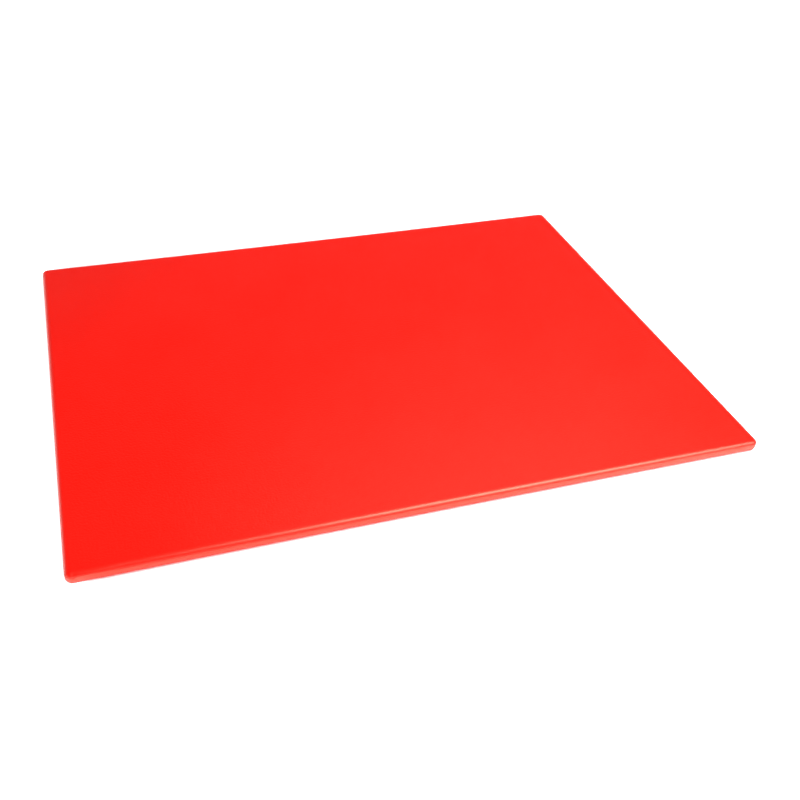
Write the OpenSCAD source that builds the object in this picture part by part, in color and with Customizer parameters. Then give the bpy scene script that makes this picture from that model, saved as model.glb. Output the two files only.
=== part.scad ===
// Catering cutting board: one reversible slab of coloured polyethylene, sawn
// from sheet, with a round routed along the rim of both faces.
//
// Frame: millimetres, +Z up, +X along the long sides. The origin is the centre
// of the underside.

/* [Slab] */
// Length, along X
board_l = 600; // [300:10:760]
// Width, along Y
board_w = 450; // [200:10:600]
// Thickness, along Z
board_t = 10; // [8:1:25]
// Radius of the four corners, seen from above
corner_r = 5; // [4:0.5:30]

/* [Rim] */
// Radius of the round along the rim of each face
edge_r = 3; // [1:0.25:3]
// Shoulder that the router leaves where a round meets the sawn side
shoulder = 0.25; // [0.05:0.05:0.5]

/* [Hidden] */
$fn = 96;

board_red = [0.9, 0.07, 0.04];

// Quarter of a disc, in the first quadrant
module quarter_disc(r) {
    intersection() {
        circle(r);
        square(r);
    }
}

// Section through the rim: X runs outwards from `reach` inside the sawn side,
// and Y up through the thickness. Each round ends one shoulder short of the side.
module rim_section(reach) {
    round_x = reach - shoulder - edge_r;
    side_h = board_t - 2 * edge_r;
    square([round_x, board_t]);
    translate([0, edge_r])
        square([reach, side_h]);
    translate([round_x, edge_r + side_h])
        quarter_disc(edge_r);
    translate([round_x, edge_r])
        mirror([0, 1])
            quarter_disc(edge_r);
}

// Bar along X with the rim on both of its long sides
module rimmed_bar(length, width) {
    for (side = [0, 1])
        mirror([0, side, 0])
            rotate([90, 0, 90])
                linear_extrude(length, center = true)
                    rim_section(width / 2);
}

// Quarter turn of the rim, for the corner between +X and +Y
module rimmed_corner() {
    rotate_extrude(angle = 90)
        rim_section(corner_r);
}

module board() {
    corner_x = board_l / 2 - corner_r;
    corner_y = board_w / 2 - corner_r;
    color(board_red) {
        rimmed_bar(2 * corner_x, board_w);
        rotate([0, 0, 90])
            rimmed_bar(2 * corner_y, board_l);
        for (mx = [0, 1], my = [0, 1])
            mirror([mx, 0, 0])
                mirror([0, my, 0])
                    translate([corner_x, corner_y, 0])
                        rimmed_corner();
    }
}

board();
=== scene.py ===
"""Looks of the catering cutting board: its detailed slab, material, floor, light and camera."""

import math

import bmesh
import bpy
from mathutils import Matrix, Vector


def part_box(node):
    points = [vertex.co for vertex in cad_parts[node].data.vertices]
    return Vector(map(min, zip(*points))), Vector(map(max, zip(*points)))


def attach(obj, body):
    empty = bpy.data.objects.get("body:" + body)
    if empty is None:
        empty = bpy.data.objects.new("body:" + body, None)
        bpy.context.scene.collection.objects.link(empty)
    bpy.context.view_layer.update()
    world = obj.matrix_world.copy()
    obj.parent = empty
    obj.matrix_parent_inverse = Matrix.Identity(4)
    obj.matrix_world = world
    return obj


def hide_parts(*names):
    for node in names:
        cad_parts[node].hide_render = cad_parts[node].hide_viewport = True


MM = 0.001

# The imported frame, and the board's size in it
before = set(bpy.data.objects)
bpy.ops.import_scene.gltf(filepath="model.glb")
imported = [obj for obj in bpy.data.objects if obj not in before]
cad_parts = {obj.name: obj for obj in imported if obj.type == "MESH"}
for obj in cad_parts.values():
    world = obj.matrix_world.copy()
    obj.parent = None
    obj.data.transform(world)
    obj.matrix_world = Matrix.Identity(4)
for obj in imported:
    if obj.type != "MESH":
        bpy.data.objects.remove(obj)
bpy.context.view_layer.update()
low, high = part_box("board")
HALF_LENGTH = (high.x - low.x) / 2
HALF_WIDTH = (high.y - low.y) / 2
THICKNESS = high.z - low.z

# Rim of the slab, in metres. The rounds' radius and the ledge are the CAD part's.
CORNER_R = 6 * MM  # plan radius of the four corners, which are 5 mm in the CAD part
EDGE_R = 3 * MM  # nominal radius of the rim's rounds
SHOULDER = 0.25 * MM  # ledge that the router leaves below a round
SHOULDER_DRIFT = 0.5  # share by which the top ledge is wider at the left and narrower at the right
FILLET = 0.07 * MM  # softness of the ledge's two corners
MOST_FILLET = 0.4  # share of a ledge's width that a fillet may take

# The long sides draw in a little, most at mid-length.
FRONT_WAIST = 0.9 * MM
BACK_WAIST = 1.7 * MM

# The top round is as if cut by hand. It is shallower than nominal, more so towards the right end,
# and rolls off further over the face. Where the front side starts, at the left, the cutter lifts,
# and it bites as it turns the corner.
CUT_EXTRA = -0.45 * MM
CUT_DRIFT = -0.3 * MM
ROLL_OFF = 1.5  # how much further it reaches over the face than down the side
LIFT = 0.9 * MM
LIFT_AT = 13 * MM  # places along the rim, from the start of the front side
LIFT_WIDTH = 16 * MM
LIFT_REACH = 0.1  # share of the lift by which the round also reaches less far over the face
BITE = 1.3 * MM
BITE_AT = 0.5 * MM
BITE_WIDTH = 1.8 * MM
FRONT_NORMAL = -0.01  # outward normals with a lower y are those of the front side and corners

# How a surface was made, which the material reads from the mesh
MOULDED, ROUTED, SAWN = 0, 0.5, 1

# Mesh density
ROUND_STEPS = 12  # segments in each quarter round
CORNER_STEPS = 20  # segments in each plan corner
FILLET_STEPS = 3
FIRST_STOP = 0.5 * MM  # spacing of the cross-sections next to a corner
STOP_GROWTH = 1.2
MOST_STOP = 12 * MM  # and along the middle of a side
MERGE_WITHIN = 0.001 * MM

# Camera, set up as a photographer would: where it looks, from how far, and how it is turned
CAMERA_TARGET = Vector((-18.9, -68.6, 0)) * MM
CAMERA_DISTANCE = 871.5 * MM
CAMERA_AZIMUTH = math.radians(-19.0)
CAMERA_ELEVATION = math.radians(38.47)
CAMERA_ROLL = math.radians(2.98)
CAMERA_LENS = 41.8
CAMERA_SHIFT = 0.0405
CAMERA_CLIP = 0.01

# Red polyethylene. Colours are linear.
REFRACTION = 1.51
SPECULAR_TINT = (1, 1, 0.7, 1)  # the highlights are a little warm
FACE_DARK = (0.78, 0.007, 0.0035, 1)
FACE_LIGHT = (0.82, 0.009, 0.0045, 1)
SAWN_COLOUR = (0.8, 0.034, 0.02, 1)
FACE_ROUGHNESS = 0.3
ROUTED_ROUGHNESS = 0.34
SAWN_ROUGHNESS = 0.42
GRAIN_SIZE = 2.0 * MM
GRAIN_DEPTH = 0.22 * MM
GRAIN_ROUGHNESS = 0.06
GRAIN_CUT_AWAY = 0.6  # share of the grain's depth that is gone where the rim is cut
FLOW_SIZE = 70 * MM
FLOW_ROUGHNESS = 0.05
TOOL_PITCH = 0.7 * MM
TOOL_DEPTH = 0.05 * MM
TOOL_STRETCH = (0.04, 0.04, 1)  # the marks run along the rim, so they are long in x and y

# Studio. The sky is white up to the first elevation, and fades to dark at the second.
HORIZON_FULL = math.radians(6)
HORIZON_END = math.radians(25)
HORIZON_SLOPE = 0.55  # share by which that fade is shorter to the right, and longer to the left
FLOOR_RADIUS = 12
FLOOR_SIDES = 64
FLOOR_WHITE = (0.92, 0.92, 0.92, 1)
GLOW_NEAR = 0.05  # how much the floor glows under the board, and from how far off it glows fully
GLOW_STARTS = 0.4
GLOW_FULL = 0.9
GLOW_LEFT_STARTS = -0.27  # the lights are on the right, so the left side's shadow is filled
GLOW_LEFT_FULL = -0.3

# Softboxes: name, place, aim, size, power, and whether they show in reflections. Two are low, and
# light the sides. Their mirror images would wash out the face when it is seen from behind.
SOFTBOXES = (
    ("over", (0.77, -0.39, 1.5), (0.77, -0.39, 0), (1.2, 1.0), 50, True),
    ("front", (0.62, -0.87, 0.45), (0.32, -0.2, 0), (1.0, 0.5), 6.4, False),
    ("high", (0.75, -1.05, 1.1), (0.2, -0.2, 0), (1.0, 0.6), 9, True),
    ("left", (-1.2, -0.2, 0.5), (0, 0, 0), (0.8, 0.4), 2, False),
    ("back", (0.7, 0.9, 1.5), (0.7, 0.9, 0), (1.2, 1.0), 2.5, True),
)


def lerp(a, b, t):
    return a + (b - a) * t


# --- The slab -----------------------------------------------------------------


def arc(centre_inset, centre_z, radius, first, last, steps):
    """Points of an arc in a section. Angles are from outwards, towards up, in degrees."""
    angles = [math.radians(lerp(first, last, i / steps)) for i in range(steps + 1)]
    return [
        (centre_inset - radius * math.cos(a), centre_z + radius * math.sin(a)) for a in angles
    ]


def half_section(reach, depth, ledge):
    """Half a rim, from its face's flat down to the sawn side, as (inset, drop) points.

    The round goes as far as `reach` over the face and `depth` down the side.
    """
    fillet = min(FILLET, MOST_FILLET * ledge)
    quarter = arc(1, -1, 1, 90, 0, ROUND_STEPS)  # of radius 1
    round_part = [(ledge + reach * inset, depth * drop) for inset, drop in quarter]
    floor = -depth - fillet
    inner = arc(ledge - fillet, floor + fillet, fillet, 180, 270, FILLET_STEPS)
    outer = arc(fillet, floor - fillet, fillet, 90, 0, FILLET_STEPS)
    return round_part + inner[1:] + outer


def top_cut(point, normal):
    """Reach and depth of the top round at a point of the rim."""
    depth = EDGE_R + CUT_EXTRA + CUT_DRIFT * point.x / HALF_LENGTH
    reach = depth * ROLL_OFF
    if point.x > 0 or normal.y > FRONT_NORMAL:
        return reach, depth
    # Distance along the rim from where the front side starts, and negative round its corner
    along = point.x + HALF_LENGTH - CORNER_R + CORNER_R * (math.asin(normal.x) - normal.x)
    lift = LIFT * math.exp(-(((along - LIFT_AT) / LIFT_WIDTH) ** 4))
    bite = BITE * math.exp(-(((along - BITE_AT) / BITE_WIDTH) ** 2))
    return reach - LIFT_REACH * lift, depth - lift + bite


def rim_section(point, normal):
    """The section at a point of the rim, from the bottom flat to the top one: (inset, z, cut)."""
    ledge = SHOULDER * (1 - SHOULDER_DRIFT * point.x / HALF_LENGTH)
    bottom = half_section(EDGE_R, EDGE_R, SHOULDER)
    top = half_section(*top_cut(point, normal), ledge)
    cuts = [MOULDED] + [ROUTED] * (ROUND_STEPS + FILLET_STEPS) + [SAWN] * (FILLET_STEPS + 1)
    section = [(CORNER_R, 0, MOULDED)]
    section += [(inset, -drop, cut) for (inset, drop), cut in zip(bottom, cuts)]
    upwards = zip(reversed(top), reversed(cuts))
    section += [(inset, THICKNESS + drop, cut) for (inset, drop), cut in upwards]
    return section + [(CORNER_R, THICKNESS, MOULDED)]


def stops(half):
    """Positions from -half to half, close together at both ends."""
    steps, step = [], FIRST_STOP
    while sum(steps) < half:
        steps.append(step)
        step = min(step * STOP_GROWTH, MOST_STOP)
    scale = half / sum(steps)
    ends = [-half]
    for step in steps:
        ends.append(ends[-1] + step * scale)
    return ends[:-1] + [0] + [-e for e in reversed(ends[:-1])]


def rim_stations(xs, ys):
    """(point of the outermost line, outward normal) all the way round, anticlockwise."""
    corner_x, corner_y = xs[-1], ys[-1]
    sides = [
        ([Vector((x, -corner_y)) for x in xs], -90),
        ([Vector((corner_x, y)) for y in ys], 0),
        ([Vector((-x, corner_y)) for x in xs], 90),
        ([Vector((-corner_x, -y)) for y in ys], 180),
    ]
    stations = []
    for centres, heading in sides:
        turns = [heading] * len(centres)
        corner = [heading + 90 * i / CORNER_STEPS for i in range(1, CORNER_STEPS)]
        for centre, turn in zip(centres + [centres[-1]] * len(corner), turns + corner):
            normal = Vector((math.cos(math.radians(turn)), math.sin(math.radians(turn))))
            stations.append((centre + normal * CORNER_R, normal))
    return stations


def add_rim(mesh, xs, ys):
    """The rim's surface, from the edge of the bottom flat round to that of the top one."""
    made_by = mesh.verts.layers.float.new("cut")
    rings = []
    for point, normal in rim_stations(xs, ys):
        ring = []
        for inset, z, cut in rim_section(point, normal):
            vertex = mesh.verts.new((*(point - normal * inset), z))
            vertex[made_by] = cut
            ring.append(vertex)
        rings.append(ring)
    for ring, after in zip(rings, rings[1:] + rings[:1]):
        for i in range(len(ring) - 1):
            mesh.faces.new((ring[i], after[i], after[i + 1], ring[i + 1]))


def add_flats(mesh, xs, ys):
    """The underside and the face, on grids that meet the rim point for point."""
    for z, flip in ((0, True), (THICKNESS, False)):
        grid = [[mesh.verts.new((x, y, z)) for x in xs] for y in ys]
        for row, above in zip(grid, grid[1:]):
            for i in range(len(xs) - 1):
                face = (row[i], row[i + 1], above[i + 1], above[i])
                mesh.faces.new(face[::-1] if flip else face)


def draw_in_long_sides(mesh):
    for vertex in mesh.verts:
        bow = 1 - (vertex.co.x / HALF_LENGTH) ** 2
        waist = FRONT_WAIST if vertex.co.y < 0 else BACK_WAIST
        vertex.co.y *= 1 - bow * waist / HALF_WIDTH


def make_slab():
    xs = stops(HALF_LENGTH - CORNER_R)
    ys = stops(HALF_WIDTH - CORNER_R)
    mesh = bmesh.new()
    add_rim(mesh, xs, ys)
    add_flats(mesh, xs, ys)
    bmesh.ops.remove_doubles(mesh, verts=mesh.verts, dist=MERGE_WITHIN)
    draw_in_long_sides(mesh)
    for face in mesh.faces:
        face.smooth = True
    data = bpy.data.meshes.new("polyethylene_slab")
    mesh.to_mesh(data)
    mesh.free()
    slab = bpy.data.objects.new("polyethylene_slab", data)
    bpy.context.collection.objects.link(slab)
    data.materials.append(red_sheet())
    return slab


# --- Materials ------------------------------------------------------------------


def new_material(name):
    material = bpy.data.materials.new(name)
    material.use_nodes = True
    return material, material.node_tree, material.node_tree.nodes["Principled BSDF"]


class Graph:
    """Short ways to add nodes to a material."""

    def __init__(self, tree):
        self.nodes = tree.nodes
        self.links = tree.links

    def put(self, value, socket):
        """Sets a socket, or links it if the value is another socket."""
        if isinstance(value, bpy.types.NodeSocket):
            self.links.new(value, socket)
        else:
            socket.default_value = value

    def math(self, operation, *values, clamp=False):
        node = self.nodes.new("ShaderNodeMath")
        node.operation = operation
        node.use_clamp = clamp
        for value, socket in zip(values, node.inputs):
            self.put(value, socket)
        return node.outputs["Value"]

    def stretched(self, place, scale):
        node = self.nodes.new("ShaderNodeMapping")
        self.put(place, node.inputs["Vector"])
        node.inputs["Scale"].default_value = scale
        return node.outputs["Vector"]

    def noise(self, place, size, detail):
        """Noise whose features are about `size` metres across, from 0 to 1."""
        node = self.nodes.new("ShaderNodeTexNoise")
        self.put(place, node.inputs["Vector"])
        node.inputs["Scale"].default_value = 1 / size
        node.inputs["Detail"].default_value = detail
        return node.outputs["Fac"]

    def ramp(self, value, low, high, at_low, at_high):
        """A smooth step of `value`, from `at_low` to `at_high`."""
        node = self.nodes.new("ShaderNodeMapRange")
        node.interpolation_type = "SMOOTHSTEP"
        names = ("From Min", "From Max", "To Min", "To Max")
        for name, number in zip(names, (low, high, at_low, at_high)):
            node.inputs[name].default_value = number
        self.put(value, node.inputs["Value"])
        return node.outputs["Result"]

    def mix(self, amount, first, second):
        """A mix of two colours. The node's colour sockets are 6 and 7, and 2 on the way out."""
        node = self.nodes.new("ShaderNodeMix")
        node.data_type = "RGBA"
        self.put(amount, node.inputs["Factor"])
        self.put(first, node.inputs[6])
        self.put(second, node.inputs[7])
        return node.outputs[2]

    def bump(self, height, distance, normal=None):
        node = self.nodes.new("ShaderNodeBump")
        node.inputs["Strength"].default_value = 1
        node.inputs["Distance"].default_value = distance
        self.put(height, node.inputs["Height"])
        if normal is not None:
            self.put(normal, node.inputs["Normal"])
        return node.outputs["Normal"]


def red_sheet():
    """Pigmented polyethylene: a fine moulded grain on the faces, tool marks on the cut rim."""
    material, tree, shader = new_material("red_sheet")
    graph = Graph(tree)
    shader.inputs["IOR"].default_value = REFRACTION
    shader.inputs["Specular Tint"].default_value = SPECULAR_TINT
    place = tree.nodes.new("ShaderNodeTexCoord").outputs["Object"]
    attribute = tree.nodes.new("ShaderNodeAttribute")
    attribute.attribute_name = "cut"
    cut = attribute.outputs["Fac"]
    # sawn rises from 0 to 1 between ROUTED and SAWN, and routed between MOULDED and ROUTED
    sawn = graph.math("MULTIPLY_ADD", cut, 2, -1, clamp=True)
    routed = graph.math("MULTIPLY", cut, 2, clamp=True)

    grain = graph.noise(place, GRAIN_SIZE, detail=3)
    flow = graph.noise(place, FLOW_SIZE, detail=3)
    feed = graph.noise(graph.stretched(place, TOOL_STRETCH), TOOL_PITCH, detail=2)

    face_colour = graph.mix(flow, FACE_DARK, FACE_LIGHT)
    graph.put(graph.mix(sawn, face_colour, SAWN_COLOUR), shader.inputs["Base Color"])

    base = FACE_ROUGHNESS - GRAIN_ROUGHNESS / 2
    rough = graph.math("MULTIPLY_ADD", grain, GRAIN_ROUGHNESS, base)
    rough = graph.math("MULTIPLY_ADD", flow, FLOW_ROUGHNESS, rough)
    rough = graph.math("ADD", rough, -FLOW_ROUGHNESS / 2)
    rough = graph.math("MULTIPLY_ADD", routed, ROUTED_ROUGHNESS - FACE_ROUGHNESS, rough)
    rough = graph.math("MULTIPLY_ADD", sawn, SAWN_ROUGHNESS - ROUTED_ROUGHNESS, rough)
    graph.put(rough, shader.inputs["Roughness"])

    moulded = graph.math("SUBTRACT", 1, graph.math("MULTIPLY", routed, GRAIN_CUT_AWAY))
    normal = graph.bump(graph.math("MULTIPLY", grain, moulded), GRAIN_DEPTH)
    tool_marks = graph.math("MULTIPLY", feed, cut)
    graph.put(graph.bump(tool_marks, TOOL_DEPTH, normal), shader.inputs["Normal"])
    return material


def white_floor():
    """Matt white, and lit from within away from the board, so that it has no edge or fall-off."""
    material, tree, shader = new_material("white_floor")
    graph = Graph(tree)
    shader.inputs["Base Color"].default_value = FLOOR_WHITE
    shader.inputs["Roughness"].default_value = 1
    shader.inputs["Specular IOR Level"].default_value = 0
    shader.inputs["Emission Color"].default_value = (1, 1, 1, 1)
    place = tree.nodes.new("ShaderNodeTexCoord").outputs["Object"]
    distance = tree.nodes.new("ShaderNodeVectorMath")
    distance.operation = "LENGTH"
    graph.put(place, distance.inputs[0])
    split = tree.nodes.new("ShaderNodeSeparateXYZ")
    graph.put(place, split.inputs["Vector"])
    around = graph.ramp(distance.outputs["Value"], GLOW_STARTS, GLOW_FULL, GLOW_NEAR, 1)
    left = graph.ramp(split.outputs["X"], GLOW_LEFT_FULL, GLOW_LEFT_STARTS, 1, 0)
    graph.put(graph.math("MAXIMUM", around, left), shader.inputs["Emission Strength"])
    return material


# --- Studio -----------------------------------------------------------------------


def make_floor():
    mesh = bmesh.new()
    bmesh.ops.create_circle(mesh, cap_ends=True, segments=FLOOR_SIDES, radius=FLOOR_RADIUS)
    data = bpy.data.meshes.new("floor")
    mesh.to_mesh(data)
    mesh.free()
    floor = bpy.data.objects.new("floor", data)
    bpy.context.collection.objects.link(floor)
    data.materials.append(white_floor())
    return floor


def softbox(name, place, aim, size, power, mirrored):
    """A soft area light at `place`, turned towards `aim`, both in metres."""
    lamp = bpy.data.lights.new(name, "AREA")
    lamp.shape = "RECTANGLE"
    lamp.size, lamp.size_y = size
    lamp.energy = power
    light = bpy.data.objects.new(name, lamp)
    bpy.context.collection.objects.link(light)
    light.visible_camera = False
    light.visible_glossy = mirrored
    light.location = place
    light.rotation_euler = (Vector(aim) - Vector(place)).to_track_quat("-Z", "Y").to_euler()


def make_sky():
    """White near the horizon, which the board's rim mirrors, and dark above."""
    world = bpy.data.worlds.new("studio")
    world.use_nodes = True
    tree = world.node_tree
    graph = Graph(tree)
    split = tree.nodes.new("ShaderNodeSeparateXYZ")
    graph.put(tree.nodes.new("ShaderNodeTexCoord").outputs["Generated"], split.inputs["Vector"])
    start = math.sin(HORIZON_FULL)
    above = graph.math("SUBTRACT", split.outputs["Z"], start)
    spread = graph.math("MULTIPLY_ADD", split.outputs["X"], -HORIZON_SLOPE, 1)
    height = graph.math("DIVIDE", above, spread)
    band = graph.ramp(height, 0, math.sin(HORIZON_END) - start, 1, 0)
    background = tree.nodes["Background"]
    background.inputs["Color"].default_value = (1, 1, 1, 1)
    graph.put(band, background.inputs["Strength"])
    bpy.context.scene.world = world


def make_camera():
    azimuth, elevation, roll = CAMERA_AZIMUTH, CAMERA_ELEVATION, CAMERA_ROLL
    back = Vector((
        math.sin(azimuth) * math.cos(elevation),
        -math.cos(azimuth) * math.cos(elevation),
        math.sin(elevation),
    ))
    right = Vector((math.cos(azimuth), math.sin(azimuth), 0))
    up = back.cross(right)
    turned_right = right * math.cos(roll) + up * math.sin(roll)
    turned_up = up * math.cos(roll) - right * math.sin(roll)
    camera = bpy.data.objects.new("camera", bpy.data.cameras.new("camera"))
    camera.data.lens = CAMERA_LENS
    camera.data.shift_x = CAMERA_SHIFT
    camera.data.clip_start = CAMERA_CLIP
    axes = Matrix((turned_right, turned_up, back)).transposed()
    place = Matrix.Translation(CAMERA_TARGET + back * CAMERA_DISTANCE)
    camera.matrix_world = place @ axes.to_4x4()
    bpy.context.collection.objects.link(camera)
    bpy.context.scene.camera = camera


slab = make_slab()
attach(slab, "root")
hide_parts("board")
make_floor()

for box in SOFTBOXES:
    softbox(*box)
make_sky()
make_camera()
bpy.context.scene.view_settings.view_transform = "Standard"
